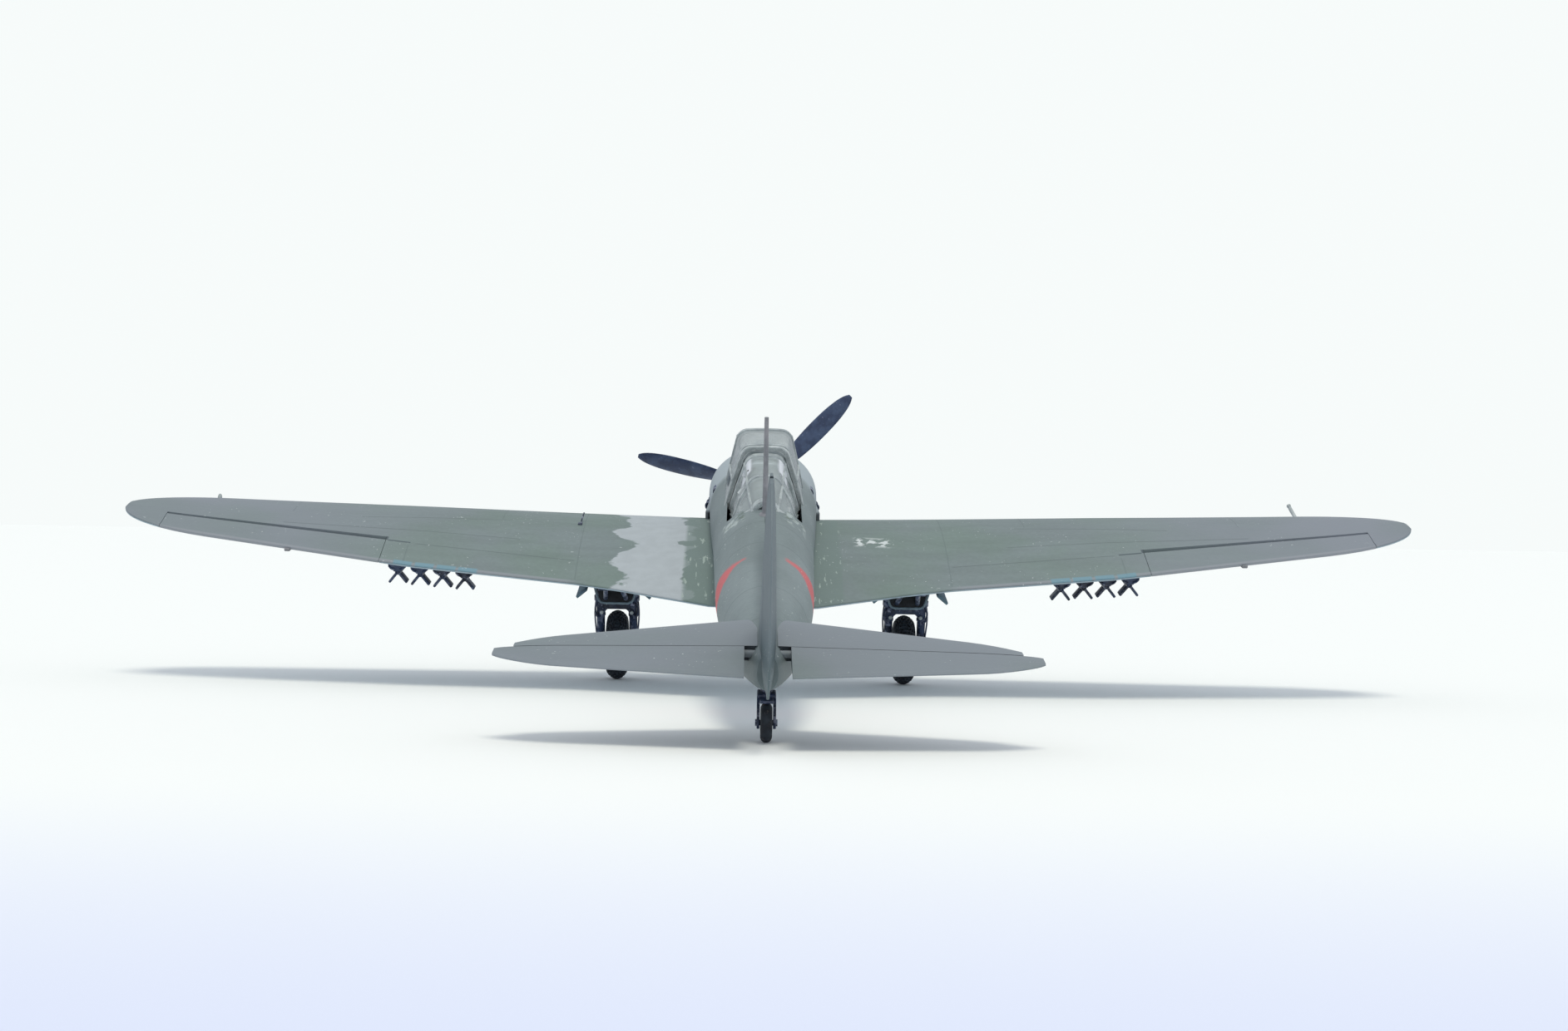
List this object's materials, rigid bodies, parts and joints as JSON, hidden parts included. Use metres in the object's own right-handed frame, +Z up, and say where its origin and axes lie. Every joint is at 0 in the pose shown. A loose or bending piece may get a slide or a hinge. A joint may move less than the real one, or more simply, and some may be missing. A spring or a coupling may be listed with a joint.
{
  "type": "propeller plane model",
  "caption": "Scale model of a single-seat low-wing propeller aircraft on fixed twin-leg landing gear, with turning propeller and wheels, hinged control surfaces and a sliding canopy hood.",
  "frame": {"origin": "on the ground under the middle of the model: half way between the wing tips and half way between the spinner's tip and the rudder's rear edge", "axes": "+X to the port wing tip, +Y aft to the tail, +Z up; the model stands on its main and tail wheels on z = 0, nose up"},
  "size_m": [0.2038, 0.1608, 0.0494],
  "materials": {
    "upper_paint": "matt grey-green brush-painted plastic, worn and patchy",
    "under_paint": "matt pale blue paint on plastic",
    "dark_paint": "satin blue-black paint on plastic",
    "tyre_paint": "matt black painted plastic tyre with tread blocks",
    "metal_paint": "satin steel-coloured paint on plastic",
    "cockpit_paint": "matt grey interior paint",
    "clear_plastic": "clear moulded plastic with painted frames"
  },
  "bodies": {
    "airframe": {"fuselage_left": "upper_paint", "exhausts_left": "dark_paint", "fuselage_right": "upper_paint", "exhausts_right": "dark_paint", "nose_plate": "dark_paint", "air_scoop": "upper_paint", "oil_cooler": "under_paint", "windscreen": "clear_plastic", "rear_glazing": "clear_plastic", "cockpit_floor": "cockpit_paint", "pilot_seat": "cockpit_paint", "seat_armour": "cockpit_paint", "instrument_panel": "dark_paint", "antenna_mast": "cockpit_paint", "wing_upper_left": "upper_paint", "wing_lower_left": "under_paint", "gear_pod_left": "under_paint", "gear_door_left_outer": "under_paint", "gear_door_left_inner": "under_paint", "gear_legs_left": "dark_paint", "axle_left": "metal_paint", "cannon_left": "metal_paint", "rocket_rails_left": "under_paint", "rocket_left_1": "dark_paint", "rocket_left_2": "dark_paint", "rocket_left_3": "dark_paint", "rocket_left_4": "dark_paint", "stabiliser_left": "upper_paint", "wing_upper_right": "upper_paint", "wing_lower_right": "under_paint", "gear_pod_right": "under_paint", "gear_door_right_outer": "under_paint", "gear_door_right_inner": "under_paint", "gear_legs_right": "dark_paint", "axle_right": "metal_paint", "cannon_right": "metal_paint", "rocket_rails_right": "under_paint", "rocket_right_1": "dark_paint", "rocket_right_2": "dark_paint", "rocket_right_3": "dark_paint", "rocket_right_4": "dark_paint", "stabiliser_right": "upper_paint", "pitot_tube": "metal_paint", "fin": "upper_paint"},
    "propeller": {"spinner": "dark_paint", "prop_shaft": "metal_paint", "propeller_blade_1": "dark_paint", "propeller_blade_2": "dark_paint", "propeller_blade_3": "dark_paint"},
    "left_wheel": {"tyre_left": "tyre_paint", "wheel_hub_left": "cockpit_paint"},
    "right_wheel": {"tyre_right": "tyre_paint", "wheel_hub_right": "cockpit_paint"},
    "tail_fork": {"tail_wheel_fork": "dark_paint"},
    "tail_wheel_body": {"tail_wheel": "tyre_paint"},
    "left_aileron": {"aileron_left": "upper_paint"},
    "right_aileron": {"aileron_right": "upper_paint"},
    "elevators": {"elevator": "upper_paint"},
    "rudder_body": {"rudder": "upper_paint"},
    "hood": {"canopy_hood": "clear_plastic"}
  },
  "joints": [
    {"name": "propeller_spin", "type": "hinge", "parent": "airframe", "child": "propeller", "pos_m": [0, -0.07401, 0.0329], "axis": [0, -0.9781, 0.2079], "continuous": true},
    {"name": "left_wheel_spin", "type": "hinge", "parent": "airframe", "child": "left_wheel", "pos_m": [0.0236, -0.04217, 0.0057], "axis": [1, 0, 0], "continuous": true},
    {"name": "right_wheel_spin", "type": "hinge", "parent": "airframe", "child": "right_wheel", "pos_m": [-0.0236, -0.04217, 0.0057], "axis": [1, 0, 0], "continuous": true},
    {"name": "tail_wheel_swivel", "type": "hinge", "parent": "airframe", "child": "tail_fork", "pos_m": [0, 0.05794, 0.00485], "axis": [0, 0.2079, 0.9781], "range_deg": [-35, 35]},
    {"name": "tail_wheel_spin", "type": "hinge", "parent": "tail_fork", "child": "tail_wheel_body", "pos_m": [0, 0.06006, 0.00235], "axis": [1, 0, 0], "continuous": true},
    {"name": "left_aileron_tilt", "type": "hinge", "parent": "airframe", "child": "left_aileron", "pos_m": [0.0588, -0.0206, 0.02154], "axis": [0.9775, -0.1815, 0.1076], "range_deg": [-20, 25]},
    {"name": "right_aileron_tilt", "type": "hinge", "parent": "airframe", "child": "right_aileron", "pos_m": [-0.0588, -0.0206, 0.02154], "axis": [0.9775, 0.1815, -0.1076], "range_deg": [-20, 25]},
    {"name": "elevator_tilt", "type": "hinge", "parent": "airframe", "child": "elevators", "pos_m": [0, 0.06222, 0.01059], "axis": [1, 0, 0], "range_deg": [-18, 26]},
    {"name": "rudder_swing", "type": "hinge", "parent": "airframe", "child": "rudder_body", "pos_m": [0, 0.06731, 0.0095], "axis": [0, 0.2079, 0.9781], "range_deg": [-25, 25]},
    {"name": "hood_slide", "type": "slide", "parent": "airframe", "child": "hood", "axis": [0, 0.9781, -0.2079], "range_m": [0, 0.0115]}
  ]
}
